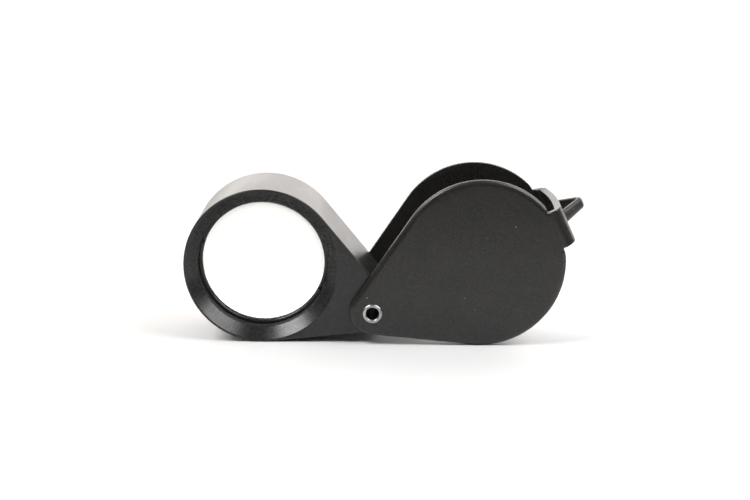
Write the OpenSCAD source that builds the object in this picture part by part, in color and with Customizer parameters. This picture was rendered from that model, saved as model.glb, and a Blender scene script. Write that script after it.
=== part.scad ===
// Folding pocket loupe: a cemented triplet lens in a thick teardrop holder that
// swings on a hollow rivet out of a bent sheet-metal cover.
// It stands opened on its two large round ends. The origin is on the rivet axis at
// mid-thickness, +Z is up, +X runs towards the cover and +Y away from the front face.
// Lengths are in millimetres.

/* [Cover] */
// Distance from the rivet axis to the centre of each large round end
arm_length = 17.0; // [16.8:0.05:17.3]
// Radius of the cover plates' large round end
cover_radius = 12.0; // [11.7:0.05:12.2]
// Radius of the cover plates' small end, about the rivet
cover_small_radius = 3.25; // [3.1:0.05:3.4]
// Distance between the outer faces of the two cover plates
cover_thickness = 16.0; // [15.6:0.1:16.4]
// Thickness of the cover sheet
sheet = 1.0; // [0.9:0.05:1.1]
// Size of the softened edge around the outer face of each plate
plate_edge = 0.4; // [0.3:0.05:0.5]

/* [Strap] */
// Distance from the large end's centre to the outside of the strap that joins the plates
strap_reach = 13.7; // [13.5:0.05:13.9]
// Width of the strap across the cover
strap_width = 5.5; // [5.2:0.1:5.8]
// Outside radius of the bend beside the front plate
front_bend = 1.5; // [1.4:0.05:1.7]
// Outside radius of the bend beside the rear plate
rear_bend = 1.8; // [1.7:0.05:1.85]
// Radius of the relief notches where the strap leaves each plate
notch_radius = 0.3; // [0.25:0.05:0.35]
// Depth the relief notches cut into the plate's round end
notch_depth = 0.1; // [0.05:0.05:0.15]

/* [Lanyard loop] */
// Length of the raised loop where it leaves the strap
loop_base = 8.1; // [7.8:0.1:8.4]
// Height of the loop above the strap
loop_height = 3.3; // [3.2:0.05:3.5]
// Width of the band the loop is raised from
loop_width = 1.8; // [1.7:0.05:2.1]
// Distance of the loop's middle behind the middle of the strap
loop_setback = 1.2; // [1:0.05:1.3]
// Thickness of the stretched band in the loop's sides
loop_band = 0.85; // [0.8:0.05:0.9]
// Outside radius of the loop's top
loop_crown = 1.2; // [1.15:0.05:1.3]

/* [Lens holder] */
// Radius of the holder's large round end
holder_radius = 11.15; // [11.05:0.05:11.25]
// Radius of the holder's small end, about the rivet
holder_small_radius = 3.1; // [2.9:0.05:3.2]
// Size of the softened edges around the holder's faces
holder_edge = 0.2; // [0.15:0.05:0.25]
// Radius of the threaded bore, measured at the threads' flats
bore_radius = 9.3; // [9.25:0.05:9.4]
// Depth of the 45 degree countersink at each end of the bore
countersink = 1.55; // [1.4:0.05:1.55]

/* [Lens] */
// Radius of the lens elements
lens_radius = 9.0; // [8.95:0.05:9.0]
// Thickness of the lens at its edge
lens_edge = 5.6; // [5.4:0.1:6]
// Radius of the two outside lens surfaces
outer_curve = 15.5; // [15:0.5:18]
// Radius of the two cemented lens surfaces
inner_curve = 12.0; // [12:0.5:13]
// Thickness of the middle element on the lens axis
crown_centre = 8.8; // [8.6:0.1:9]
// Width of the narrow flat land left at the rim of the outside lens surfaces
lens_land = 0.2; // [0.15:0.05:0.25]

/* [Retaining rings] */
// Radius of the rings' openings, which is the clear aperture
aperture_radius = 8.8; // [8.75:0.05:8.85]
// Thickness of each retaining ring
ring_thickness = 1.0; // [0.9:0.1:1.1]
// Width of the two spanner notches across each ring
spanner_notch = 1.4; // [1.2:0.1:1.6]
// Depth of the spanner notches in each ring
spanner_depth = 0.5; // [0.4:0.05:0.6]

/* [Hinge] */
// Height of the rivet axis above the surface the opened loupe stands on
pivot_height = 4.7; // [4.5:0.05:4.9]
// Outside radius of the hollow rivet's tube
rivet_radius = 1.15; // [1.1:0.01:1.2]
// Radius of the hole through the rivet
rivet_hole = 0.9; // [0.86:0.01:0.94]
// Outside radius of the rivet's rolled lips
lip_radius = 1.4; // [1.35:0.05:1.5]
// Radius of the two friction washers
washer_radius = 2.8; // [2.6:0.1:3.0]
// Gap between a cover plate and the lens holder
side_gap = 0.2; // [0.16:0.01:0.25]

/* [Hidden] */
// Smoothness of every round surface
$fn = 128;
// Radial play of the holder on the rivet
hinge_play = 0.04;
// Play between a friction washer and the holder face that slides on it
washer_play = 0.02;
// Radial play of the washers on the rivet
washer_bore_play = 0.05;
// Radial play of the lens in its seat, and of the rings in the threaded bore
lens_play = 0.03;
// Distance a cutting tool runs past the faces it cuts
overcut = 1;
// Distance the web's straight sides lie inside the lines that touch both round ends,
// so that they cross the round ends cleanly
web_inset = 0.01;
// Depth the relief notches cut into the neck
notch_bite = 0.05;
half_cover = cover_thickness / 2;
plate_inside = half_cover - sheet;
half_holder = plate_inside - side_gap;
half_lens = lens_edge / 2;
strap_face = arm_length + strap_reach;
// Angles of the two arms that rest both large round ends on one level surface
cover_angle = asin((cover_radius - pivot_height) / arm_length);
holder_angle = 180 - asin((holder_radius - pivot_height) / arm_length);
// Distances from the lens centre to the centres of its surfaces' spheres
inner_centre = inner_curve - crown_centre / 2;
outer_centre = sqrt(pow(outer_curve, 2) - pow(lens_radius - lens_land, 2)) - half_lens;
cover_colour = [0.16, 0.16, 0.16];
holder_colour = [0.12, 0.12, 0.12];
ring_colour = [0.07, 0.07, 0.07];
bright_colour = [0.75, 0.75, 0.77];
washer_colour = [0.85, 0.84, 0.80];
flint_colour = [0.80, 0.88, 0.92, 0.5];
crown_colour = [0.88, 0.93, 0.96, 0.5];

// Turns an arm's working frame into the row's frame. In the working frame X runs
// along the arm from the rivet, Y across it and Z towards the front of the loupe.
module arm_frame(angle) {
    rotate([90, 0, 0])
        rotate([0, 0, angle])
            children();
}

// Draws something at the front and its twin at the rear
module front_and_rear() {
    children();
    at_rear()
        children();
}

// Turns a front piece into its twin at the rear
module at_rear() {
    mirror([0, 0, 1])
        children();
}

// Corners of a teardrop's web, near the points where the straight sides meet the two
// round ends, on an outline moved in by an inset
function web_corners(large, small, reach, inset) =
    let (
        lean = asin((large - small) / reach),
        near = small - inset - web_inset,
        far = large - inset - web_inset
    )
    [
        [-near * sin(lean), near * cos(lean)],
        [-near * sin(lean), -near * cos(lean)],
        [reach - far * sin(lean), -far * cos(lean)],
        [reach - far * sin(lean), far * cos(lean)]
    ];

// Teardrop outline: two round ends and the straight-sided web between them
module teardrop(large, small, reach) {
    circle(small);
    translate([reach, 0])
        circle(large);
    polygon(web_corners(large, small, reach, 0));
}

// Web whose two straight sides lean in by 45 degrees over its whole height
module sloping_web(large, small, reach, height) {
    polyhedron(
        points = [
            for (level = [0, height])
                for (corner = web_corners(large, small, reach, level))
                    [corner.x, corner.y, level]
        ],
        faces = [
            [0, 1, 2, 3], [7, 6, 5, 4], [0, 4, 5, 1],
            [1, 5, 6, 2], [2, 6, 7, 3], [3, 7, 4, 0]
        ]
    );
}

// Teardrop slab with its upper edge softened all round
module soft_teardrop(large, small, reach, thickness, edge) {
    linear_extrude(thickness - edge)
        teardrop(large, small, reach);
    translate([0, 0, thickness - edge]) {
        cylinder(h = edge, r1 = small, r2 = small - edge);
        translate([reach, 0, 0])
            cylinder(h = edge, r1 = large, r2 = large - edge);
        sloping_web(large, small, reach, edge);
    }
}

// Plate with its rivet hole and its neck to the strap, drawn from its inner face up
// to its outer face. A round notch relieves each corner where the neck leaves it.
module plate(bend) {
    root_start = arm_length + cover_radius - 2 * overcut;
    notch_side = strap_width / 2 + notch_radius - notch_bite;
    notch_reach = arm_length
        + sqrt(pow(cover_radius + notch_radius - notch_depth, 2) - pow(notch_side, 2));
    difference() {
        union() {
            soft_teardrop(cover_radius, cover_small_radius, arm_length, sheet, plate_edge);
            translate([root_start, -notch_side, 0])
                cube([notch_reach - root_start, 2 * notch_side, sheet]);
            translate([root_start, -strap_width / 2, 0])
                cube([strap_face - bend - root_start, strap_width, sheet]);
        }
        for (side = [-1, 1])
            translate([notch_reach, side * notch_side, -overcut])
                cylinder(h = sheet + 2 * overcut, r = notch_radius);
        translate([0, 0, -overcut])
            cylinder(h = sheet + 2 * overcut, r = rivet_radius);
    }
}

// Quarter bend that turns a plate's neck into the strap
module strap_bend(bend) {
    translate([strap_face - bend, 0, half_cover - bend])
        rotate([90, 0, 0])
            translate([0, 0, -strap_width / 2])
                intersection() {
                    difference() {
                        cylinder(h = strap_width, r = bend);
                        translate([0, 0, -overcut])
                            cylinder(h = strap_width + 2 * overcut, r = bend - sheet);
                    }
                    cube([bend + overcut, bend + overcut, strap_width]);
                }
}

// Lean of the loop's legs, which touch the round top
function loop_lean(half_base, crown_height) =
    atan2(crown_height, half_base)
    + asin(loop_crown / sqrt(pow(half_base, 2) + pow(crown_height, 2)));

// Half the distance between the loop's feet on the strap, on one surface of the
// band: inset is the distance in from the band's outer surface
function loop_foot(inset) =
    loop_base / 2 - inset / sin(loop_lean(loop_base / 2, loop_height - loop_crown));

// Side view of the raised loop out to one surface of the band, with the strap's
// outside on the X axis and the loop's roots reaching into the strap
module loop_outline(inset) {
    crown_height = loop_height - loop_crown;
    lean = loop_lean(loop_base / 2, crown_height);
    crown = loop_crown - inset;
    foot = loop_foot(inset);
    translate([0, crown_height])
        circle(crown);
    polygon([
        [-foot, -sheet / 2],
        [foot, -sheet / 2],
        [foot, 0],
        [crown * sin(lean), crown_height + crown * cos(lean)],
        [-crown * sin(lean), crown_height + crown * cos(lean)],
        [-foot, 0]
    ]);
}

// Band of the strap raised into a triangular loop
module loop() {
    translate([strap_face, 0, -loop_setback])
        rotate([90, 0, 0])
            rotate([0, 0, -90])
                translate([0, 0, -loop_width / 2])
                    linear_extrude(loop_width)
                        difference() {
                            loop_outline(0);
                            loop_outline(loop_band);
                        }
}

// Flat part of the strap, with the opening left where the loop was raised
module strap() {
    foot = loop_foot(loop_band);
    difference() {
        translate([strap_face - sheet, -strap_width / 2, rear_bend - half_cover])
            cube([sheet, strap_width, cover_thickness - rear_bend - front_bend]);
        translate([strap_face - sheet - overcut, -loop_width / 2, -loop_setback - foot])
            cube([sheet + 2 * overcut, loop_width, 2 * foot]);
    }
}

// One bent sheet: two teardrop plates joined by a strap, with a band of the strap
// raised into a triangular loop
module cover() {
    color(cover_colour)
    arm_frame(cover_angle) {
        translate([0, 0, plate_inside])
            plate(front_bend);
        at_rear()
            translate([0, 0, plate_inside])
                plate(rear_bend);
        strap_bend(front_bend);
        at_rear()
            strap_bend(rear_bend);
        strap();
        loop();
    }
}

// Hollow rivet: a tube through both plates with a rolled lip at each end
module pivot_rivet() {
    lip = (lip_radius - rivet_hole) / 2;
    color(bright_colour)
    rotate([90, 0, 0])
    rotate_extrude() {
        translate([rivet_hole, -half_cover])
            square([rivet_radius - rivet_hole, cover_thickness]);
        for (end = [0, 1])
            mirror([0, end])
                translate([rivet_hole + lip, half_cover])
                    intersection() {
                        circle(lip);
                        translate([-lip, 0])
                            square([2 * lip, lip]);
                    }
    }
}

// Thin washer between the front plate and the holder
module washer() {
    translate([0, 0, plate_inside - side_gap + washer_play])
        difference() {
            cylinder(h = side_gap - washer_play, r = washer_radius);
            translate([0, 0, -overcut])
                cylinder(h = 3 * overcut, r = rivet_radius + washer_bore_play);
        }
}

module friction_washer_front() {
    color(washer_colour)
    arm_frame(cover_angle)
        washer();
}

module friction_washer_rear() {
    color(washer_colour)
    arm_frame(cover_angle)
        at_rear()
            washer();
}

// Front half of the cutting tool for the lens opening: lens seat, threaded bore and
// countersink
module lens_opening() {
    countersink_start = half_holder - countersink;
    cylinder(h = half_holder, r = lens_radius + lens_play);
    translate([0, 0, half_lens])
        cylinder(h = half_holder - half_lens, r = bore_radius);
    translate([0, 0, countersink_start])
        cylinder(
            h = countersink + overcut,
            r1 = bore_radius,
            r2 = bore_radius + countersink + overcut
        );
}

// Teardrop block that carries the lens and turns on the rivet
module lens_holder() {
    color(holder_colour)
    arm_frame(holder_angle)
    difference() {
        front_and_rear()
            soft_teardrop(
                holder_radius, holder_small_radius, arm_length, half_holder, holder_edge
            );
        translate([0, 0, -half_holder - overcut])
            cylinder(h = 2 * (half_holder + overcut), r = rivet_radius + hinge_play);
        translate([arm_length, 0, 0])
            front_and_rear()
                lens_opening();
    }
}

// Ring that clamps the lens from the front, with two spanner notches
module retaining_ring() {
    translate([arm_length, 0, half_lens])
        difference() {
            cylinder(h = ring_thickness, r = bore_radius - lens_play);
            translate([0, 0, -overcut])
                cylinder(h = ring_thickness + 2 * overcut, r = aperture_radius);
            translate([-bore_radius - overcut, -spanner_notch / 2, ring_thickness - spanner_depth])
                cube([2 * (bore_radius + overcut), spanner_notch, spanner_depth + overcut]);
        }
}

module retaining_ring_front() {
    color(ring_colour)
    arm_frame(holder_angle)
        retaining_ring();
}

module retaining_ring_rear() {
    color(ring_colour)
    arm_frame(holder_angle)
        at_rear()
            retaining_ring();
}

// Outer element of the triplet: convex outside, hollow inside, with a flat land at
// its rim for the retaining ring
module flint() {
    translate([arm_length, 0, 0])
        difference() {
            union() {
                cylinder(h = half_lens, r = lens_radius);
                intersection() {
                    translate([0, 0, -outer_centre])
                        sphere(outer_curve);
                    translate([0, 0, half_lens])
                        cylinder(h = outer_curve, r = lens_radius - lens_land);
                }
            }
            translate([0, 0, -inner_centre])
                sphere(inner_curve);
        }
}

module triplet_front_flint() {
    color(flint_colour)
    arm_frame(holder_angle)
        flint();
}

module triplet_rear_flint() {
    color(flint_colour)
    arm_frame(holder_angle)
        at_rear()
            flint();
}

// Thick convex element cemented between the two outer ones
module triplet_centre_crown() {
    color(crown_colour)
    arm_frame(holder_angle)
        translate([arm_length, 0, 0])
            intersection() {
                translate([0, 0, -inner_centre])
                    sphere(inner_curve);
                translate([0, 0, inner_centre])
                    sphere(inner_curve);
                translate([0, 0, -crown_centre / 2 - overcut])
                    cylinder(h = crown_centre + 2 * overcut, r = lens_radius);
            }
}

cover();
pivot_rivet();
friction_washer_front();
friction_washer_rear();
lens_holder();
retaining_ring_front();
retaining_ring_rear();
triplet_front_flint();
triplet_centre_crown();
triplet_rear_flint();
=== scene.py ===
import math

import bmesh
import bpy
import numpy as np
from mathutils import Matrix, Vector, geometry

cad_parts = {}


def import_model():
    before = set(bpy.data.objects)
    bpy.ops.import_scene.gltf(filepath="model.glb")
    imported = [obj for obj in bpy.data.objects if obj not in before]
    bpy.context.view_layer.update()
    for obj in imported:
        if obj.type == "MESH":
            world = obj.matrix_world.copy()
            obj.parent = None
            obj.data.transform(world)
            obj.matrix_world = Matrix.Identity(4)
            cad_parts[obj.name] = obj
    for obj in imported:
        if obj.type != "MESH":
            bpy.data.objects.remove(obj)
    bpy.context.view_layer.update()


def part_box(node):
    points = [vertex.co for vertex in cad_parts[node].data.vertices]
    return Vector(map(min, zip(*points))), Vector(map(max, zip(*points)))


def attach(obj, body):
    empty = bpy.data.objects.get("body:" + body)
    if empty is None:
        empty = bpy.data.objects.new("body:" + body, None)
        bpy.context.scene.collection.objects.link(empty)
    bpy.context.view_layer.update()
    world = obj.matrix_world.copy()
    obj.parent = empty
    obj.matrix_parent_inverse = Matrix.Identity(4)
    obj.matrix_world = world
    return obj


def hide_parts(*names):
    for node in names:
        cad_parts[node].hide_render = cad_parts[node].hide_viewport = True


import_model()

MM = 1000.0


def box_mm(node):
    """A node's lowest and highest corners in mm."""
    low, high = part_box(node)
    return np.array(low) * MM, np.array(high) * MM


# ---------------------------------------------------------------- sizes in mm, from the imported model
cover_low, cover_high = box_mm("cover")
holder_low, holder_high = box_mm("lens_holder")
lens_low, lens_high = box_mm("triplet_centre_crown")
ring_low, ring_high = box_mm("retaining_ring_front")
washer_low, washer_high = box_mm("friction_washer_front")
lens_centre = (lens_low + lens_high) / 2

# Half thicknesses across the loupe
HALF_COVER = cover_high[1]
HALF_HOLDER = holder_high[1]
HALF_LENS = -ring_high[1]
RING_THICK = ring_high[1] - ring_low[1]
# Both teardrops reach from the rivet to a large round end, ARM away
ARM = math.hypot(lens_centre[0], lens_centre[2])
COVER_R = (cover_high[2] - cover_low[2]) / 2
HOLDER_R = lens_centre[2] - holder_low[2]
WASHER_R = (washer_high[0] - washer_low[0]) / 2
# Directions of the two arms at rest
COVER_ANGLE = math.asin((cover_low[2] + COVER_R) / ARM)
HOLDER_ANGLE = math.atan2(lens_centre[2], lens_centre[0])
FLOOR_Z = min(cover_low[2], holder_low[2])

# ---------------------------------------------------------------- sizes in mm that no box shows
# Cover: sheet, small end and strap
SHEET = 1.0
COVER_SMALL_R = 3.25
STRAP_FACE = ARM + 13.7
STRAP_WIDTH = 5.36
FRONT_BEND = 1.5
REAR_BEND = 1.8
# The strap widens by the flare where it meets a plate
FRONT_FLARE = 0.12
REAR_FLARE = 0.55
# The strap stands proud by the bow in its middle and falls back by the ease at its bends
STRAP_BOW = 0.08
FRONT_EASE = 0.4
REAR_EASE = 0.55
# The bow starts this far below the strap's face and is full after the run
BOW_START = 2.4
BOW_RUN = 1.0
# Relief notch beside the strap, and the round corner that leads into it
NOTCH_R = 0.3
NOTCH_DEPTH = 0.1
NOTCH_CORNER = 0.95
# Edge of the outer face: radius on the plates and on the strap, and how much further the
# plates' rounding reaches in over the face than it drops
PLATE_EDGE = 0.55
STRAP_EDGE = 0.14
EDGE_SPREAD = 1.6
# The edge radius changes over this length, starting the lead before the neck
EDGE_CHANGE = 0.9
EDGE_LEAD = 0.5
INNER_EDGE = 0.1
# Faint shear line in the cut side: its depth, and its section as shares of the depth at
# distances below the rounding
GROOVE_DEPTH = 0.08
GROOVE_SHAPE = ((0.0, 0.03), (1.0, 0.10), (1.0, 0.14), (0.0, 0.20))
# Raised loop: foot length, height, width, place and thickness of its band
LOOP_BASE = 8.1
LOOP_HEIGHT = 3.4
LOOP_WIDTH = 1.8
LOOP_SETBACK = 1.2
LOOP_BAND = 0.9
LOOP_CROWN = 1.2
LOOP_FOOT_R = 0.5
# How far the band runs on inside the sheet, and how far the bow lifts its foot
LOOP_ROOT = 0.5
LOOP_STAND = 0.8 * STRAP_BOW
# The band is a little wider at its foot and narrows where it was stretched over the top
LOOP_FOOT_EXTRA = 0.1
LOOP_NARROWING = 0.25
# Exponent of the band's section: 1 is an ellipse, towards 0 a rectangle
LOOP_ROUND = 0.75
# The window behind the loop is this much longer than the eye at each end and wider than the
# band at each side; its cutter stands out by the margin
WINDOW_RELIEF = 0.35
WINDOW_PLAY = 0.03
WINDOW_MARGIN = 0.5

# Rivet and washers
RIVET_R = 1.15
RIVET_HOLE = 0.9
LIP_R = 1.4
# The bright lip reaches this far into the hole, and its underside is tucked into the sheet
LIP_DEPTH = 0.5
LIP_TUCK = 0.004
# The rolled lips are out of round by two small ripples
LIP_WAVE = 0.012
LIP_RIPPLE = 0.008
WASHER_PLAY = 0.05
WASHER_EDGE = 0.03

# Lens holder
HOLDER_SMALL_R = 3.1
HOLDER_EDGE = 0.2
PIVOT_PLAY = 0.04
PIVOT_EDGE = 0.05
BORE_R = 9.3
CONE_DEPTH = 1.55
CONE_EDGE = 0.05
# The bore's wall stands back from the rings by this much more than their own play
WALL_PLAY = 0.01
# Depth below the shoulder at which the thread starts, and its pitch and depth
THREAD_START = 0.12
THREAD_PITCH = 0.35
THREAD_DEPTH = 0.13

# Retaining rings
APERTURE_R = 8.8
RING_PLAY = 0.03
RING_EDGE = 0.06
RING_BEVEL = 0.096
# Gap under the ring, so that it doesn't share a face with the lens
RING_GAP = 0.01
SPANNER_WIDTH = 1.4
SPANNER_DEPTH = 0.5

# Lens elements
LENS_R = 9.0
LENS_PLAY = 0.03
LENS_LAND = 0.2
OUTER_CURVE = 15.5
INNER_CURVE = 12.0
CROWN_CENTRE = 8.8
CEMENT_GAP = 0.004
FLINT_INDEX = 1.62
CROWN_INDEX = 1.517

# ---------------------------------------------------------------- how finely round shapes are divided
TIP_POINTS = 18
LARGE_END_POINTS = 72
SIDE_STEPS = 12
NOTCH_POINTS = 9
NECK_STEP = 0.14
EDGE_STEPS = 8
INNER_EDGE_STEPS = 3
HOLDER_EDGE_STEPS = 5
LOOP_FOOT_POINTS = 9
LOOP_CROWN_POINTS = 13
BAND_POINTS = 28
LIP_POINTS = 15
RIVET_HOLE_POINTS = 64
RIVET_POINTS = 96
PIVOT_POINTS = 48
BORE_POINTS = 180
LENS_POINTS = 160
CAP_POINTS = 30


# ---------------------------------------------------------------- mesh helpers
def to_row(points, angle):
    """Arm frame in mm (X along the arm, Y across, Z towards the front) to the row's metres."""
    p = np.asarray(points, float)
    c, s = math.cos(angle), math.sin(angle)
    out = np.empty_like(p)
    out[:, 0] = p[:, 0] * c - p[:, 1] * s
    out[:, 1] = -p[:, 2]
    out[:, 2] = p[:, 0] * s + p[:, 1] * c
    return out / MM


class Shell:
    """Points and faces of one closed surface, gathered bit by bit in an arm's frame."""

    def __init__(self):
        self.points = []
        self.faces = []
        self.groups = []

    def add(self, points):
        """Adds points and returns their numbers."""
        start = len(self.points)
        self.points.extend([tuple(p) for p in points])
        return list(range(start, len(self.points)))

    def face(self, ids, group=0):
        self.faces.append(tuple(ids))
        self.groups.append(group)

    def band(self, a, b, group=0):
        """Quads between two closed rings of equal length."""
        n = len(a)
        for i in range(n):
            j = (i + 1) % n
            self.face((a[i], a[j], b[j], b[i]), group)

    def cap(self, loops):
        """Flat face bounded by an outer loop and any holes."""
        rows = [[Vector(self.points[i]) for i in loop] for loop in loops]
        flat = [i for loop in loops for i in loop]
        for corners in geometry.tessellate_polygon(rows):
            self.face([flat[i] for i in corners])

    def make(self, name, angle, materials):
        """Makes the object; a face's group picks its material."""
        mesh = bpy.data.meshes.new(name)
        mesh.from_pydata([tuple(p) for p in to_row(self.points, angle)], [], self.faces)
        for material in materials:
            mesh.materials.append(material)
        mesh.polygons.foreach_set("material_index", self.groups)
        bm = bmesh.new()
        bm.from_mesh(mesh)
        bmesh.ops.remove_doubles(bm, verts=bm.verts, dist=2e-7)
        bmesh.ops.recalc_face_normals(bm, faces=bm.faces)
        bm.to_mesh(mesh)
        bm.free()
        obj = bpy.data.objects.new(name, mesh)
        bpy.context.scene.collection.objects.link(obj)
        return obj


def finish_piece(obj, body, node, smooth_deg):
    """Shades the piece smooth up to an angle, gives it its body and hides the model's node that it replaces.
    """
    obj.data.polygons.foreach_set("use_smooth", [True] * len(obj.data.polygons))
    obj.data.set_sharp_from_angle(angle=math.radians(smooth_deg))
    weighted = obj.modifiers.new("even shading", "WEIGHTED_NORMAL")
    weighted.keep_sharp = True
    weighted.weight = 80
    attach(obj, body)
    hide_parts(node)


def circle_points(radius, z, count, centre_x=0.0):
    turns = np.arange(count) * 2 * math.pi / count
    return [(centre_x + radius * math.cos(a), radius * math.sin(a), z) for a in turns]


def lathe(shell, profile, centre_x, count, groups=None, closed=True):
    """Turns a profile of (radius, z) points round an axis along Z. Returns its rings."""
    rings = []
    for radius, z in profile:
        on_axis = radius < 1e-6
        points = [(centre_x, 0.0, z)] if on_axis else circle_points(radius, z, count, centre_x)
        rings.append(shell.add(points))
    pairs = list(zip(rings, rings[1:]))
    if closed:
        pairs.append((rings[-1], rings[0]))
    for (a, b), group in zip(pairs, groups or [0] * len(pairs)):
        if len(a) == len(b):
            shell.band(a, b, group)
            continue
        tip, ring = (a[0], b) if len(a) == 1 else (b[0], a)
        for i in range(len(ring)):
            shell.face((tip, ring[i], ring[(i + 1) % len(ring)]), group)
    return rings


def arc(cx, cy, r, a0, a1, n):
    """Points on an arc, ends included, angles in degrees."""
    return [
        (cx + r * math.cos(math.radians(a)), cy + r * math.sin(math.radians(a)))
        for a in np.linspace(a0, a1, n)
    ]


def outward(loop):
    """Unit normals of a closed outline, pointing out."""
    turn = np.sum(loop[:, 0] * np.roll(loop[:, 1], -1) - loop[:, 1] * np.roll(loop[:, 0], -1))
    t = np.roll(loop, -1, 0) - np.roll(loop, 1, 0)
    t /= np.linalg.norm(t, axis=1)[:, None]
    return np.column_stack([t[:, 1], -t[:, 0]]) * np.sign(turn)


def edge_profile(radius, steps):
    """(inset, drop) pairs round a quarter-round edge, from the flat face to the side."""
    return [
        (radius * (1 - math.sin(a)), radius * (1 - math.cos(a)))
        for a in np.linspace(0, math.pi / 2, steps + 1)
    ]


def box_shell(low, high):
    (x0, y0, z0), (x1, y1, z1) = low, high
    base = [(x0, y0), (x1, y0), (x1, y1), (x0, y1)]
    shell = Shell()
    shell.add([(x, y, z) for z in (z0, z1) for x, y in base])
    for ids in ((0, 1, 2, 3), (7, 6, 5, 4), (0, 4, 5, 1), (1, 5, 6, 2), (2, 6, 7, 3), (3, 7, 4, 0)):
        shell.face(ids)
    return shell


def merge_boolean(obj, other, operation):
    """Applies one exact boolean to obj and removes the other mesh."""
    modifier = obj.modifiers.new("cut", "BOOLEAN")
    modifier.operation = operation
    modifier.solver = "EXACT"
    modifier.object = other
    graph = bpy.context.evaluated_depsgraph_get()
    made = bpy.data.meshes.new_from_object(obj.evaluated_get(graph))
    obj.modifiers.clear()
    obj.data = made
    bpy.data.objects.remove(other)


# ---------------------------------------------------------------- material helpers
class Nodes:
    """Short names for building the node tree of a material or of the world."""

    def __init__(self, owner, output="ShaderNodeOutputMaterial", coords="Object"):
        owner.use_nodes = True
        self.owner = owner
        self.tree = owner.node_tree
        self.tree.nodes.clear()
        self.out = self.tree.nodes.new(output)
        self.coords = self.tree.nodes.new("ShaderNodeTexCoord").outputs[coords]

    def node(self, kind, inputs=None, **props):
        n = self.tree.nodes.new(kind)
        for k, v in props.items():
            setattr(n, k, v)
        for k, v in (inputs or {}).items():
            self.put(n.inputs[k], v)
        return n

    def put(self, socket, value):
        """Links a socket or sets a plain value."""
        if isinstance(value, bpy.types.NodeSocket):
            self.tree.links.new(value, socket)
        else:
            socket.default_value = value

    def math(self, op, a, b=0.0):
        return self.node("ShaderNodeMath", {0: a, 1: b}, operation=op).outputs[0]

    def noise(self, scale, detail=4.0, rough=0.55, offset=None, stretch=None):
        vec = self.coords
        if stretch:
            moved = {"Vector": vec, "Scale": stretch, "Location": offset or (0.0, 0.0, 0.0)}
            vec = self.node("ShaderNodeMapping", moved).outputs[0]
        look = {"Vector": vec, "Scale": scale, "Detail": detail, "Roughness": rough}
        return self.node("ShaderNodeTexNoise", look).outputs["Fac"]

    def cells(self, scale, channel):
        """Distance to the nearest cell centre and one random value per cell."""
        n = self.node("ShaderNodeTexVoronoi", {"Vector": self.coords, "Scale": scale})
        split = self.node("ShaderNodeSeparateColor", {"Color": n.outputs["Color"]})
        return n.outputs["Distance"], split.outputs[channel]

    def remap(self, value, a, b, c, d, smooth=False):
        """Takes the range a to b to the range c to d, held at its ends."""
        ends = {"Value": value, "From Min": a, "From Max": b, "To Min": c, "To Max": d}
        n = self.node("ShaderNodeMapRange", ends, interpolation_type="SMOOTHSTEP" if smooth else "LINEAR")
        return n.outputs[0]

    def mix(self, factor, a, b):
        """Blend of two colours."""
        return self.node("ShaderNodeMix", {0: factor, 6: a, 7: b}, data_type="RGBA").outputs[2]

    def blend(self, factor, a, b):
        """Blend of two shaders."""
        return self.node("ShaderNodeMixShader", {0: factor, 1: a, 2: b}).outputs[0]

    def bump(self, height, strength, distance):
        look = {"Height": height, "Strength": strength, "Distance": distance}
        return self.node("ShaderNodeBump", look).outputs[0]

    def edge(self, radius):
        """1 on convex edges narrower than radius, 0 on flat ground."""
        bevel = self.node("ShaderNodeBevel", {"Radius": radius}, samples=4)
        geo = self.node("ShaderNodeNewGeometry")
        pair = {0: bevel.outputs[0], 1: geo.outputs["Normal"]}
        dot = self.node("ShaderNodeVectorMath", pair, operation="DOT_PRODUCT")
        return self.remap(dot.outputs["Value"], 0.98, 0.82, 0.0, 1.0)

    def principled(self, **inputs):
        named = {k.replace("_", " "): v for k, v in inputs.items()}
        return self.node("ShaderNodeBsdfPrincipled", named).outputs[0]

    def passing_light(self, shader, colour):
        """The shader, but a plain tint to light on its way to something else."""
        clear = self.node("ShaderNodeBsdfTransparent", {"Color": colour}).outputs[0]
        shadow = self.node("ShaderNodeLightPath").outputs["Is Shadow Ray"]
        return self.blend(shadow, shader, clear)

    def surface(self, shader):
        self.tree.links.new(shader, self.out.inputs["Surface"])
        return self.owner


def material(name):
    return Nodes(bpy.data.materials.new(name))


def grey(v, warm=0.0):
    return (v * (1 + warm), v, v * (1 - warm), 1.0)


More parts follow.
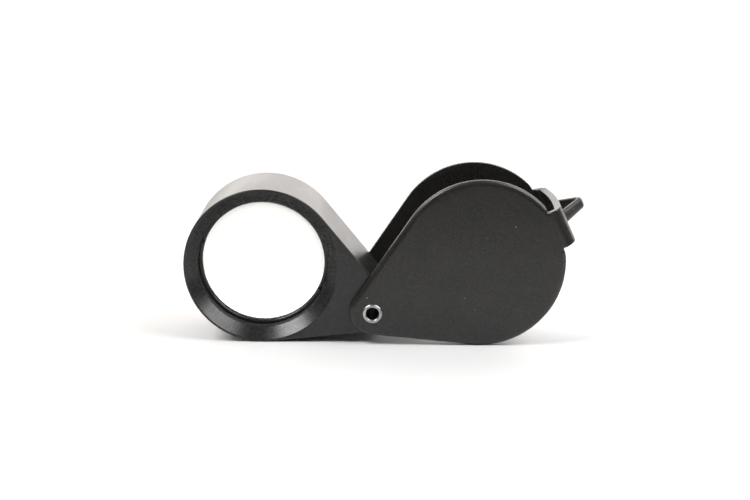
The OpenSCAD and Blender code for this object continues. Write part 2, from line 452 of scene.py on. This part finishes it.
# ---------------------------------------------------------------- materials
def coated_black(name, base, rough, grain_scale, grain_depth, specks, warm=0.02):
    """Black coating with a fine grain, patchy sheen, worn edges and a few grains of dust."""
    m = material(name)
    dust_tone = grey(0.24, 0.02)
    bare_tone = grey(0.22, 0.02)
    worn_radius = 0.00012
    grain = m.noise(grain_scale, 3.0, 0.6)
    patches = m.noise(180.0, 4.0, 0.55)
    smears = m.noise(90.0, 3.0, 0.5, offset=(0.3, 0.1, 0.7), stretch=(1.0, 0.4, 2.2))
    sparkle = m.noise(4200.0, 2.0, 0.6)
    tone = m.mix(m.remap(patches, 0.35, 0.65, 0.0, 1.0), grey(base * 0.85, warm), grey(base * 1.15, warm))
    tone = m.mix(m.remap(sparkle, 0.45, 0.75, 0.0, 0.6), tone, grey(base * 3.2, warm))
    # dust sits in the few cells whose random value is highest
    distance, pick = m.cells(1300.0, 0)
    dust = m.math(
        "MULTIPLY",
        m.remap(distance, 0.10, 0.16, 1.0, 0.0),
        m.remap(pick, 1.0 - specks, 1.0 - specks * 0.6, 0.0, 1.0),
    )
    tone = m.mix(m.math("MULTIPLY", dust, 0.7), tone, dust_tone)
    worn = m.math("MULTIPLY", m.edge(worn_radius), m.remap(m.noise(1400.0, 2.0), 0.45, 0.7, 0.0, 0.5))
    tone = m.mix(worn, tone, bare_tone)
    gloss = m.remap(smears, 0.3, 0.7, rough - 0.05, rough + 0.06)
    gloss = m.math("ADD", gloss, m.remap(grain, 0.3, 0.7, -0.03, 0.03))
    height = m.math("ADD", grain, m.math("MULTIPLY", dust, 0.8))
    return m.surface(m.principled(
        Base_Color=tone,
        Roughness=gloss,
        Normal=m.bump(height, 1.0, grain_depth),
        Metallic=m.math("MULTIPLY", worn, 0.6),
    ))


def turned_black(name, base, rough):
    """Machined and blacked surface: smoother, with streaks across the cut and stray pits."""
    m = material(name)
    lens_axis = tuple(lens_centre / MM)
    rel = m.node("ShaderNodeVectorMath", {0: m.coords, 1: lens_axis}, operation="SUBTRACT")
    flat = m.node("ShaderNodeSeparateXYZ", {0: rel.outputs[0]}).outputs
    turn = m.math("ARCTAN2", flat[2], flat[0])
    ring = m.math("SQRT", m.math("ADD", m.math("POWER", flat[0], 2.0), m.math("POWER", flat[2], 2.0)))
    unrolled = {0: m.math("MULTIPLY", turn, 9.0), 1: m.math("MULTIPLY", ring, 900.0)}
    where = m.node("ShaderNodeCombineXYZ", unrolled).outputs[0]
    look = {"Vector": where, "Scale": 2.2, "Detail": 5.0, "Roughness": 0.65}
    streak = m.node("ShaderNodeTexNoise", look).outputs["Fac"]
    distance, pick = m.cells(2600.0, 1)
    pit = m.math("MULTIPLY", m.remap(distance, 0.1, 0.25, 1.0, 0.0), m.remap(pick, 0.93, 0.97, 0.0, 1.0))
    tone = m.mix(m.remap(streak, 0.35, 0.65, 0.0, 1.0), grey(base * 0.9, 0.01), grey(base * 1.15, 0.01))
    tone = m.mix(m.math("MULTIPLY", pit, 0.3), tone, grey(0.12, 0.01))
    gloss = m.remap(streak, 0.3, 0.7, rough - 0.04, rough + 0.06)
    height = m.math("ADD", m.math("MULTIPLY", streak, 0.4), m.noise(3600.0, 3.0, 0.6))
    normal = m.bump(m.math("ADD", height, pit), 0.35, 0.000003)
    return m.surface(m.principled(Base_Color=tone, Roughness=gloss, Normal=normal))


def bright_metal(name, base, rough, grooves):
    """Bare rolled metal: turned rings, small nicks and a dull film in the low places."""
    m = material(name)
    rings = m.noise(grooves, 2.0, 0.5, stretch=(1.0, 6.0, 1.0))
    nicks = m.noise(3200.0, 5.0, 0.65)
    film = m.noise(900.0, 4.0, 0.6)
    tone = m.mix(m.remap(film, 0.45, 0.7, 0.0, 0.7), grey(base, 0.01), grey(base * 0.45, 0.03))
    gloss = m.remap(nicks, 0.3, 0.7, rough - 0.06, rough + 0.10)
    height = m.math("ADD", m.math("MULTIPLY", rings, 0.5), nicks)
    normal = m.bump(height, 0.6, 0.00001)
    return m.surface(m.principled(Base_Color=tone, Metallic=1.0, Roughness=gloss, Normal=normal))


def polished_glass(name, ior):
    """Clear coated glass with a trace of haze."""
    m = material(name)
    haze = m.remap(m.noise(260.0, 4.0, 0.6), 0.4, 0.75, 0.0, 0.012)
    glass = m.principled(
        Base_Color=(0.985, 0.995, 0.99, 1.0),
        IOR=ior,
        Transmission_Weight=1.0,
        Roughness=haze,
        Specular_IOR_Level=0.35,
    )
    return m.surface(m.passing_light(glass, (0.92, 0.94, 0.94, 1.0)))


def cement_joint(name, ratio):
    """Cemented face that bends light by the ratio of the two glasses' indices."""
    m = material(name)
    haze = m.remap(m.noise(260.0, 4.0, 0.6), 0.4, 0.75, 0.0, 0.004)
    look = {"Color": (0.99, 0.995, 0.99, 1.0), "IOR": ratio, "Roughness": haze}
    glass = m.node("ShaderNodeBsdfGlass", look).outputs[0]
    return m.surface(m.passing_light(glass, (0.97, 0.98, 0.98, 1.0)))


def cemented_face(name):
    """The other element's side of a cemented face: nothing but a trace of tint shows."""
    m = material(name)
    trace = m.remap(m.noise(300.0, 3.0), 0.3, 0.7, 0.0, 1.0)
    tint = m.mix(trace, (0.985, 0.99, 0.99, 1.0), (0.99, 0.99, 0.985, 1.0))
    return m.surface(m.node("ShaderNodeBsdfTransparent", {"Color": tint}).outputs[0])


def ground_edge(name):
    """Ground and blacked rim of a lens element."""
    m = material(name)
    grit = m.noise(2600.0, 4.0, 0.7)
    tone = m.mix(m.remap(grit, 0.4, 0.7, 0.0, 1.0), grey(0.012), grey(0.03))
    return m.surface(m.principled(Base_Color=tone, Roughness=0.8, Normal=m.bump(grit, 0.8, 0.00002)))


COVER_BLACK = coated_black(
    "cover_coating", base=0.011, rough=0.30, grain_scale=3600.0, grain_depth=0.000010, specks=0.05, warm=0.05
)
HOLDER_BLACK = coated_black(
    "holder_anodising", base=0.011, rough=0.32, grain_scale=3800.0, grain_depth=0.000010, specks=0.05
)
CONE_BLACK = turned_black("countersink_anodising", base=0.014, rough=0.28)
RING_BLACK = coated_black(
    "ring_anodising", base=0.009, rough=0.26, grain_scale=3000.0, grain_depth=0.000004, specks=0.02
)
BORE_BLACK = coated_black(
    "bore_anodising", base=0.005, rough=0.45, grain_scale=3000.0, grain_depth=0.000006, specks=0.02
)
WASHER_BLACK = coated_black(
    "washer_plastic", base=0.02, rough=0.55, grain_scale=2000.0, grain_depth=0.000006, specks=0.01
)
BRIGHT = bright_metal("bare_rivet_metal", base=0.50, rough=0.30, grooves=1500.0)
# painted shade inside the rivet's tube: a dark, dull coat where the bare metal bore only lies in shade
RIVET_BORE_SHADE = coated_black(
    "rivet_bore_painted_shade", base=0.012, rough=0.6, grain_scale=2600.0, grain_depth=0.000010, specks=0.01
)
GLASS = polished_glass("lens_glass", FLINT_INDEX)
CEMENT = cemented_face("cemented_face")
CROWN_FACE = cement_joint("crown_face", CROWN_INDEX / FLINT_INDEX)
LENS_EDGE = ground_edge("lens_ground_edge")


# ---------------------------------------------------------------- teardrop outlines
def teardrop_half(large, small, reach):
    """Upper half of a teardrop from its small tip up to its large round end, and the lean of its sides."""
    lean = math.degrees(math.asin((large - small) / reach))
    points = arc(0, 0, small, 180, 90 + lean, TIP_POINTS)
    sx, sy = points[-1]
    ex, ey = reach - large * math.sin(math.radians(lean)), large * math.cos(math.radians(lean))
    for k in range(1, SIDE_STEPS):
        f = k / SIDE_STEPS
        points.append((sx + (ex - sx) * f, sy + (ey - sy) * f))
    return points, lean


def teardrop_loop(large, small, reach):
    """Whole teardrop outline, anticlockwise."""
    upper, lean = teardrop_half(large, small, reach)
    upper += arc(reach, 0, large, 90 + lean, 0, LARGE_END_POINTS)
    lower = [(x, -y) for x, y in upper[-2:0:-1]]
    return np.array(upper + lower)[::-1]


# ---------------------------------------------------------------- cover sheet
# Lengths along the flat pattern, from the front pivot over the strap to the rear pivot
FRONT_BEND_X = STRAP_FACE - FRONT_BEND
REAR_BEND_X = STRAP_FACE - REAR_BEND
STRAP_S = FRONT_BEND_X + FRONT_BEND * math.pi / 2
REAR_BEND_S = STRAP_S + 2 * HALF_COVER - FRONT_BEND - REAR_BEND
REAR_PLATE_S = REAR_BEND_S + REAR_BEND * math.pi / 2
REAR_PIVOT_S = REAR_PLATE_S + REAR_BEND_X
STRAP_MIDDLE_S = (STRAP_S + REAR_BEND_S) / 2


def flat_bends(s, depth):
    """Place along the arm and across the loupe of a pattern length and a depth below the outer face."""
    if s <= FRONT_BEND_X:
        return s, HALF_COVER - depth
    if s <= STRAP_S:
        a = (s - FRONT_BEND_X) / FRONT_BEND
        r = FRONT_BEND - depth
        return FRONT_BEND_X + r * math.sin(a), HALF_COVER - FRONT_BEND + r * math.cos(a)
    if s <= REAR_BEND_S:
        return STRAP_FACE - depth, HALF_COVER - FRONT_BEND - (s - STRAP_S)
    if s <= REAR_PLATE_S:
        a = (s - REAR_BEND_S) / REAR_BEND
        r = REAR_BEND - depth
        return REAR_BEND_X + r * math.cos(a), -(HALF_COVER - REAR_BEND) - r * math.sin(a)
    return REAR_BEND_X - (s - REAR_PLATE_S), -HALF_COVER + depth


def bend_sheet(s, t, depth):
    """Point of the bent sheet from its place on the flat pattern and its depth below the outer face."""
    x, z = flat_bends(s, depth)
    # the strap is slightly arched from front to rear
    bowed = min(1.0, max(0.0, (x - (STRAP_FACE - BOW_START)) / BOW_RUN))
    across = min(1.0, abs(z) / HALF_COVER)
    ease = FRONT_EASE if z > 0 else REAR_EASE
    return x + bowed * (STRAP_BOW - (STRAP_BOW + ease) * across**2), t, z


def plate_half(x_end, flare):
    """Upper half of a plate with its notch, and its neck out to x_end. Also the neck's first point."""
    points, lean = teardrop_half(COVER_R, COVER_SMALL_R, ARM)
    reach = COVER_R + NOTCH_R - NOTCH_DEPTH
    nt = STRAP_WIDTH / 2 + flare + NOTCH_R
    nx = ARM + math.sqrt(reach**2 - nt**2)
    # a small round corner leads from the plate's circle into the notch
    turn = NOTCH_CORNER + NOTCH_R
    swing = math.acos((reach**2 + turn**2 - (COVER_R - NOTCH_CORNER) ** 2) / (2 * reach * turn))
    back = math.pi + math.atan2(nt, nx - ARM) - swing
    cx, ct = nx + turn * math.cos(back), nt + turn * math.sin(back)
    meet = math.degrees(math.atan2(ct, cx - ARM))
    points += arc(ARM, 0, COVER_R, 90 + lean, meet, LARGE_END_POINTS)
    points += arc(cx, ct, NOTCH_CORNER, meet, math.degrees(back) - 180, NOTCH_POINTS)[1:]
    points += arc(nx, nt, NOTCH_R, math.degrees(back), 270, NOTCH_POINTS)[1:]
    neck = len(points) - 1
    count = round((x_end - nx) / NECK_STEP)
    for k in range(1, count + 1):
        near = 1 - k / count
        points.append((nx + (x_end - nx) * k / count, STRAP_WIDTH / 2 + flare * near**3))
    return points, neck


def cover_pattern():
    """Outline of the flat sheet, and the numbers of its points at the front and the rear end of the neck."""
    front, front_neck = plate_half(STRAP_MIDDLE_S, FRONT_FLARE)
    rear, rear_neck = plate_half(REAR_PIVOT_S - STRAP_MIDDLE_S, REAR_FLARE)
    upper = front + [(REAR_PIVOT_S - x, t) for x, t in rear[::-1]][1:]
    lower = [(x, -t) for x, t in upper[-2:0:-1]]
    return np.array(upper + lower), front_neck, len(upper) - 1 - rear_neck


def cover_edge(shell, loop, first, last):
    """Rings of points round the sheet's cut edge, from the outer face to the inner one."""
    normals = outward(loop)
    along = loop[:, 0]
    strap_share = np.where(
        along < STRAP_MIDDLE_S,
        np.clip((along - (along[first] - EDGE_LEAD)) / EDGE_CHANGE, 0, 1),
        np.clip((along[last] + EDGE_LEAD - along) / EDGE_CHANGE, 0, 1),
    )
    radius = PLATE_EDGE + (STRAP_EDGE - PLATE_EDGE) * strap_share
    plate_share = 1 - strap_share

    def ring(inset, depth):
        pattern = loop - normals * (inset * np.ones(len(loop)))[:, None]
        depths = depth * np.ones(len(loop))
        return shell.add([bend_sheet(s, t, d) for (s, t), d in zip(pattern, depths)])

    rings = [
        ring(inset * (1 + (EDGE_SPREAD - 1) * plate_share), drop)
        for inset, drop in edge_profile(radius, EDGE_STEPS)
    ]
    for share, below in GROOVE_SHAPE:
        rings.append(ring(share * GROOVE_DEPTH * plate_share, radius + below))
    for inset, drop in edge_profile(INNER_EDGE, INNER_EDGE_STEPS)[::-1]:
        rings.append(ring(inset, SHEET - drop))
    for a, b in zip(rings, rings[1:]):
        shell.band(a, b)
    return rings[0], rings[-1]


def cover_shell():
    """The bent sheet without its window and its loop."""
    shell = Shell()
    loop, first, last = cover_pattern()
    outer, inner = cover_edge(shell, loop, first, last)
    count = len(loop)

    def mirror(i):
        return (count - i) % count

    # each plate is capped on both faces, round its rivet hole
    for start, end, pivot_s in ((first, mirror(first), 0.0), (mirror(last), last, REAR_PIVOT_S)):
        span = [(end + k) % count for k in range((start - end) % count + 1)]
        holes = []
        for depth in (0.0, SHEET):
            circle = circle_points(RIVET_R, depth, RIVET_HOLE_POINTS, pivot_s)
            holes.append(shell.add([bend_sheet(*point) for point in circle]))
        shell.band(holes[0], holes[1])
        shell.cap([[outer[i] for i in span], holes[0]])
        shell.cap([[inner[i] for i in span], holes[1]])
    # the bent neck between them goes in strips
    for i in range(first, last):
        for ring in (outer, inner):
            shell.face((ring[i], ring[i + 1], ring[mirror(i + 1)], ring[mirror(i)]))
    return shell


def loop_line(lean):
    """Centre line of the raised band from root to root: along the strap, and above its face."""
    mid = LOOP_BAND / 2
    apex = np.array([0.0, LOOP_HEIGHT - LOOP_CROWN])
    leg = np.array([-math.cos(lean), math.sin(lean)])
    side = np.array([math.sin(lean), math.cos(lean)])
    top = apex + side * (LOOP_CROWN - mid)
    foot = np.array([LOOP_BASE / 2, 0.0]) - side * mid
    # the band leaves the strap's mid-thickness on a small arc that turns it into the leg
    reach = (foot[1] + SHEET / 2) / leg[1]
    corner = foot - leg * reach
    turn = LOOP_FOOT_R + mid
    start = corner + np.array([turn * math.tan(lean / 2), 0.0])
    path = [start + np.array([LOOP_ROOT, 0.0])]
    for a in np.linspace(0, lean, LOOP_FOOT_POINTS):
        path.append(start + turn * np.array([-math.sin(a), 1 - math.cos(a)]))
    path.append((path[-1] + top) / 2)
    for a in np.linspace(lean, 0, LOOP_CROWN_POINTS):
        path.append(apex + (LOOP_CROWN - mid) * np.array([math.sin(a), math.cos(a)]))
    path = np.array(path)
    return np.vstack([path, path[:-1][::-1] * np.array([-1.0, 1.0])])


def band_section(half_width):
    """Points round the band's section: across the strap, and along the band's thickness."""
    points = []
    for a in np.arange(BAND_POINTS) * 2 * math.pi / BAND_POINTS:
        c, s = math.cos(a), math.sin(a)
        across = half_width * math.copysign(abs(c) ** LOOP_ROUND, c)
        points.append((across, LOOP_BAND / 2 * math.copysign(abs(s) ** LOOP_ROUND, s)))
    return points


def loop_shell(lean):
    """The raised band, swept along its centre line, with rounded edges."""
    line = loop_line(lean)
    tangent = np.gradient(line, axis=0)
    tangent /= np.linalg.norm(tangent, axis=1)[:, None]
    side = np.column_stack([tangent[:, 1], -tangent[:, 0]])
    height_share = np.clip(line[:, 1] / (LOOP_HEIGHT - LOOP_BAND / 2), 0, 1)
    face = STRAP_FACE + LOOP_STAND
    shell = Shell()
    rings = []
    for p, n, f in zip(line, side, height_share):
        ring = []
        for w, d in band_section((LOOP_WIDTH + LOOP_FOOT_EXTRA - LOOP_NARROWING * f) / 2):
            q = p + n * d
            ring.append((face + q[1], w, q[0] - LOOP_SETBACK))
        rings.append(shell.add(ring))
    for a, b in zip(rings, rings[1:]):
        shell.band(a, b)
    shell.face(rings[0][::-1])
    shell.face(rings[-1])
    return shell


def cover():
    obj = cover_shell().make("cover_sheet", COVER_ANGLE, [COVER_BLACK])
    # slope of the loop's legs
    half_base, rise = LOOP_BASE / 2, LOOP_HEIGHT - LOOP_CROWN
    lean = math.atan2(rise, half_base) + math.asin(LOOP_CROWN / math.hypot(half_base, rise))
    half_width = LOOP_WIDTH / 2 + WINDOW_PLAY
    half_length = half_base - LOOP_BAND / math.sin(lean) + WINDOW_RELIEF
    window = box_shell(
        (STRAP_FACE - SHEET - WINDOW_MARGIN, -half_width, -LOOP_SETBACK - half_length),
        (STRAP_FACE + WINDOW_MARGIN, half_width, -LOOP_SETBACK + half_length),
    )
    merge_boolean(obj, window.make("window", COVER_ANGLE, [COVER_BLACK]), "DIFFERENCE")
    merge_boolean(obj, loop_shell(lean).make("loop", COVER_ANGLE, [COVER_BLACK]), "UNION")
    finish_piece(obj, "cover", "cover", smooth_deg=30)


# ---------------------------------------------------------------- rivet and washers
def rivet():
    """Tube with a rolled lip at each end; the lips are slightly uneven, as rolling leaves them."""
    shell = Shell()
    lip = (LIP_R - RIVET_HOLE) / 2
    centre = RIVET_HOLE + lip
    rolled = [(centre + r, HALF_COVER + z) for r, z in arc(0, 0, lip, 180, 0, LIP_POINTS)]
    under = (RIVET_R - LIP_TUCK, HALF_COVER - LIP_TUCK / 4)
    front = [(RIVET_HOLE, HALF_COVER - LIP_DEPTH)] + rolled + [under]
    rear = [(r, -z) for r, z in front[::-1]]
    # painted shade: the tube's inside is coloured dark and dull from the lips inwards
    groups = [0] * (2 * len(front))
    groups[0] = groups[-2] = groups[-1] = 1
    lathe(shell, front + rear, 0.0, RIVET_POINTS, groups)
    for i, (x, y, z) in enumerate(shell.points):
        if abs(z) > HALF_COVER + LIP_TUCK / 2:
            a = math.atan2(y, x)
            uneven = LIP_WAVE * math.sin(3 * a + 1.0) + math.copysign(LIP_RIPPLE, z) * math.sin(7 * a)
            r = min(math.hypot(x, y) + uneven, LIP_R + LIP_TUCK)
            shell.points[i] = (r * math.cos(a), r * math.sin(a), z)
    obj = shell.make("rivet_tube", COVER_ANGLE, [BRIGHT, RIVET_BORE_SHADE])
    finish_piece(obj, "cover", "pivot_rivet", smooth_deg=40)


def washer(name, node):
    shell = Shell()
    low, high = box_mm(node)
    z0, z1 = -high[1], -low[1]
    r0, r1 = RIVET_R + WASHER_PLAY, WASHER_R
    e = WASHER_EDGE
    profile = [
        (r0, z0 + e), (r0, z1 - e), (r0 + e, z1), (r1 - e, z1),
        (r1, z1 - e), (r1, z0 + e), (r1 - e, z0), (r0 + e, z0),
    ]
    lathe(shell, profile, 0.0, RIVET_POINTS)
    obj = shell.make(name, COVER_ANGLE, [WASHER_BLACK])
    finish_piece(obj, "cover", node, smooth_deg=40)


# ---------------------------------------------------------------- lens holder
def bore_profile():
    """(radius, z) points of the lens opening: countersink, fine thread down to the ring and
    seat, and the same behind. Also the materials of the stretches between them."""
    mouth = BORE_R + CONE_DEPTH
    shoulder = HALF_HOLDER - CONE_DEPTH
    wall = BORE_R + WALL_PLAY
    e = CONE_EDGE
    half = [
        (mouth + e, HALF_HOLDER),
        (mouth + e * 0.3, HALF_HOLDER - e * 0.3),
        (mouth - e, HALF_HOLDER - e * 1.3),
        (BORE_R + e, shoulder + e),
        (wall, shoulder - e * 0.4),
    ]
    z = shoulder - THREAD_START
    half.append((wall, z))
    # the last turn may dip a little behind the ring
    while z - THREAD_PITCH > HALF_LENS + RING_THICK - 0.1:
        half += [(BORE_R + THREAD_DEPTH, z - THREAD_PITCH * 0.5), (wall, z - THREAD_PITCH)]
        z -= THREAD_PITCH
    half += [(wall, HALF_LENS), (LENS_R + LENS_PLAY, HALF_LENS)]
    profile = half + [(r, -z) for r, z in half[::-1]]
    # the countersinks are turned smooth, the bore and its thread are not
    turned_from = shoulder - e * 0.6
    groups = [1 if min(abs(a[1]), abs(b[1])) > turned_from else 2 for a, b in zip(profile, profile[1:])]
    return profile, groups


def holder():
    shell = Shell()
    outline = teardrop_loop(HOLDER_R, HOLDER_SMALL_R, ARM)
    normals = outward(outline)
    edge = edge_profile(HOLDER_EDGE, HOLDER_EDGE_STEPS)
    sides = [(inset, HALF_HOLDER - drop) for inset, drop in edge]
    sides += [(inset, -HALF_HOLDER + drop) for inset, drop in edge[::-1]]
    rings = [shell.add([(x, y, z) for x, y in outline - normals * inset]) for inset, z in sides]
    for a, b in zip(rings, rings[1:]):
        shell.band(a, b)
    profile, groups = bore_profile()
    bore = lathe(shell, profile, ARM, BORE_POINTS, groups, closed=False)
    hole = RIVET_R + PIVOT_PLAY
    chamfer = [(hole + PIVOT_EDGE, HALF_HOLDER), (hole, HALF_HOLDER - PIVOT_EDGE)]
    pivot = lathe(shell, chamfer + [(r, -z) for r, z in chamfer[::-1]], 0.0, PIVOT_POINTS, closed=False)
    shell.cap([rings[0], bore[0], pivot[0]])
    shell.cap([rings[-1], bore[-1], pivot[-1]])
    obj = shell.make("holder_block", HOLDER_ANGLE, [HOLDER_BLACK, CONE_BLACK, BORE_BLACK])
    finish_piece(obj, "holder", "lens_holder", smooth_deg=28)


def retaining_ring(name, node, sign):
    shell = Shell()
    z0, z1 = HALF_LENS + RING_GAP, HALF_LENS + RING_THICK
    outer = BORE_R - RING_PLAY
    profile = [
        (APERTURE_R, z0), (APERTURE_R, z1 - RING_BEVEL), (APERTURE_R + RING_BEVEL, z1),
        (outer - RING_EDGE, z1), (outer, z1 - RING_EDGE), (outer, z0),
    ]
    lathe(shell, [(r, sign * z) for r, z in profile], ARM, BORE_POINTS)
    obj = shell.make(name, HOLDER_ANGLE, [RING_BLACK])
    # two spanner notches, cut across by one bar
    z0, z1 = sorted((sign * (z1 - SPANNER_DEPTH), sign * (z1 + SPANNER_DEPTH)))
    half, reach = SPANNER_WIDTH / 2, BORE_R + 1
    bar = box_shell((ARM - reach, -half, z0), (ARM + reach, half, z1))
    merge_boolean(obj, bar.make("notch", HOLDER_ANGLE, [RING_BLACK]), "DIFFERENCE")
    finish_piece(obj, "holder", node, smooth_deg=30)


# ---------------------------------------------------------------- lens elements
# Centres of the spheres of the front outer face and the front cemented face
OUTER_CENTRE_Z = -(math.sqrt(OUTER_CURVE**2 - (LENS_R - LENS_LAND) ** 2) - HALF_LENS)
INNER_CENTRE_Z = -(INNER_CURVE - CROWN_CENTRE / 2)


def sphere_cap(curve, centre_z, r_max):
    """(radius, z) points on a sphere's front, from its top out to r_max."""
    return [
        (curve * math.sin(a), centre_z + curve * math.cos(a))
        for a in np.linspace(0, math.asin(r_max / curve), CAP_POINTS)
    ]


def element(name, node, profile, groups, inner_face):
    shell = Shell()
    lathe(shell, profile, ARM, LENS_POINTS, groups, closed=False)
    obj = shell.make(name, HOLDER_ANGLE, [GLASS, inner_face, LENS_EDGE])
    finish_piece(obj, "holder", node, smooth_deg=12)


def flint(name, node, sign):
    outer = sphere_cap(OUTER_CURVE, OUTER_CENTRE_Z, LENS_R - LENS_LAND)
    inner = sphere_cap(INNER_CURVE, INNER_CENTRE_Z, LENS_R)
    profile = outer + [(LENS_R, HALF_LENS)] + inner[::-1]
    groups = [0] * (len(outer) - 1) + [2, 2] + [1] * (len(inner) - 1)
    element(name, node, [(r, sign * z) for r, z in profile], groups, CEMENT)


def crown():
    cap = [(r, z - CEMENT_GAP) for r, z in sphere_cap(INNER_CURVE, INNER_CENTRE_Z, LENS_R)]
    profile = cap + [(r, -z) for r, z in cap[::-1]]
    groups = [1] * (len(cap) - 1) + [2] + [1] * (len(cap) - 1)
    element("middle_element", "triplet_centre_crown", profile, groups, CROWN_FACE)


cover()
rivet()
washer("washer_front", "friction_washer_front")
washer("washer_rear", "friction_washer_rear")
holder()
retaining_ring("front_retaining_ring", "retaining_ring_front", 1)
retaining_ring("rear_retaining_ring", "retaining_ring_rear", -1)
flint("front_element", "triplet_front_flint", 1)
crown()
flint("rear_element", "triplet_rear_flint", -1)

# ---------------------------------------------------------------- studio, in metres
FLOOR_HALF = 3.0
TABLE_TONES = (grey(0.70), grey(0.72))
# Painted shade: in front of the picture the table is painted darker, which only reflections and bounced
# light show
FRONT_SHADE_START_Y = -0.04
FRONT_SHADE_FULL_Y = -0.16
FRONT_PAINTED_SHADE = 0.9
# Distances over which the table fades into the white backdrop
FADE_START = 0.10
FADE_END = 0.30
# Strengths: room in front and behind, backdrop as seen, and what the glass takes away
FRONT_LEVEL = 0.12
BACK_LEVEL = 2.55
ROOM_COLOUR = (1.0, 0.95, 0.915, 1.0)
# Directions (their Y and Z) over which the room brightens behind, and dims overhead
BEHIND_Y = (0.12, 0.6)
OVERHEAD_Z = (0.45, 0.9)
OVERHEAD_SHARE = 0.6
WHITE_LEVEL = 1.3
LENS_BOOST = 1.0
# Lights: place, width and height, power in watts
SOFTBOXES = {
    "softbox_left": ((-0.29, -0.105, 0.39), (0.22, 0.22), 2.0),
    "softbox_right": ((0.33, -0.10, 0.36), (0.30, 0.34), 2.2),
}
CAMERA_PLACE = (-0.001841, -0.176583, 0.051001)
CAMERA_PITCH = math.radians(13.884)
CAMERA_YAW = math.radians(0.722)
CAMERA_ROLL = math.radians(0.564)
FOCAL_LENGTH_MM = 59.37
FOCUS_POINT = (0.0, -0.007, 0.007)
F_STOP = 25.0


def link(name, data):
    obj = bpy.data.objects.new(name, data)
    bpy.context.scene.collection.objects.link(obj)
    return obj


def seen_white(nodes):
    """1 for what is seen straight or through the lens and 0 otherwise, and the white's strength there."""
    path = nodes.node("ShaderNodeLightPath").outputs
    seen = nodes.math("MAXIMUM", path["Is Camera Ray"], path["Is Transmission Ray"])
    boost = nodes.math("MULTIPLY", path["Is Transmission Ray"], LENS_BOOST)
    return seen, nodes.math("ADD", boost, WHITE_LEVEL)


def floor():
    """Pale table that takes shadows, carries painted shade in front where only reflections see it, and fades
    into the white backdrop.
    """
    mesh = bpy.data.meshes.new("floor")
    r, z = FLOOR_HALF, FLOOR_Z / MM
    mesh.from_pydata([(-r, -r, z), (r, -r, z), (r, r, z), (-r, r, z)], [], [(0, 1, 2, 3)])
    m = material("studio_floor")
    seen, white = seen_white(m)
    tone = m.mix(m.noise(3.0, 3.0), *TABLE_TONES)
    place = m.node("ShaderNodeSeparateXYZ", {0: m.coords}).outputs
    # painted shade: towards the front and out of the camera's sight, the table's colour darkens so that
    # reflections and bounced light from there are dim
    near = m.remap(place[1], FRONT_SHADE_FULL_Y, FRONT_SHADE_START_Y, 1.0 - FRONT_PAINTED_SHADE, 1.0)
    tone = m.mix(m.math("MAXIMUM", near, seen), grey(0.0), tone)
    table = m.principled(Base_Color=tone, Roughness=0.6, Specular_IOR_Level=0.2)
    glow = m.node("ShaderNodeEmission", {"Color": grey(1.0), "Strength": white}).outputs[0]
    reach = m.node("ShaderNodeVectorMath", {0: m.coords}, operation="LENGTH").outputs["Value"]
    far = m.remap(reach, FADE_START, FADE_END, 0.0, 1.0)
    mesh.materials.append(m.surface(m.blend(m.math("MULTIPLY", far, seen), table, glow)))
    link("floor", mesh)


def world():
    """White backdrop as seen, and a room that is bright behind the loupe and dim in front of it."""
    scene_world = bpy.data.worlds.new("studio")
    bpy.context.scene.world = scene_world
    w = Nodes(scene_world, "ShaderNodeOutputWorld", "Generated")
    direction = w.node("ShaderNodeSeparateXYZ", {0: w.coords}).outputs
    behind = w.remap(direction["Y"], *BEHIND_Y, FRONT_LEVEL, BACK_LEVEL, smooth=True)
    above = w.remap(direction["Z"], *OVERHEAD_Z, 1.0, OVERHEAD_SHARE, smooth=True)
    level = w.math("MULTIPLY", behind, above)
    room = w.node("ShaderNodeBackground", {"Color": ROOM_COLOUR, "Strength": level}).outputs[0]
    seen, white = seen_white(w)
    backdrop = w.node("ShaderNodeBackground", {"Strength": white}).outputs[0]
    w.surface(w.blend(seen, room, backdrop))


def softbox(name, place, size, power):
    data = bpy.data.lights.new(name, "AREA")
    data.shape = "RECTANGLE"
    data.size, data.size_y = size
    data.energy = power
    obj = link(name, data)
    obj.location = place
    obj.rotation_mode = "QUATERNION"
    obj.rotation_quaternion = (-Vector(place)).to_track_quat("-Z", "Y")
    obj.visible_camera = False


def camera():
    data = bpy.data.cameras.new("camera")
    obj = link("camera", data)
    bpy.context.scene.camera = obj
    data.sensor_width = 36.0
    data.lens = FOCAL_LENGTH_MM
    data.clip_start = 0.01
    data.clip_end = 10.0
    level = math.cos(CAMERA_PITCH)
    forward = Vector((math.sin(CAMERA_YAW) * level, math.cos(CAMERA_YAW) * level, -math.sin(CAMERA_PITCH)))
    right = Vector((math.cos(CAMERA_YAW), -math.sin(CAMERA_YAW), 0.0))
    up = right.cross(forward)
    c, s = math.cos(CAMERA_ROLL), math.sin(CAMERA_ROLL)
    axes = Matrix((right * c + up * s, up * c - right * s, -forward))
    obj.matrix_world = Matrix.Translation(CAMERA_PLACE) @ axes.transposed().to_4x4()
    # the focus stays on the front faces from wherever the camera looks
    focus = link("focus_point", None)
    focus.location = FOCUS_POINT
    data.dof.use_dof = True
    data.dof.focus_object = focus
    data.dof.aperture_fstop = F_STOP


floor()
world()
for name, (place, size, power) in SOFTBOXES.items():
    softbox(name, place, size, power)
camera()
bpy.context.scene.view_settings.view_transform = "Standard"
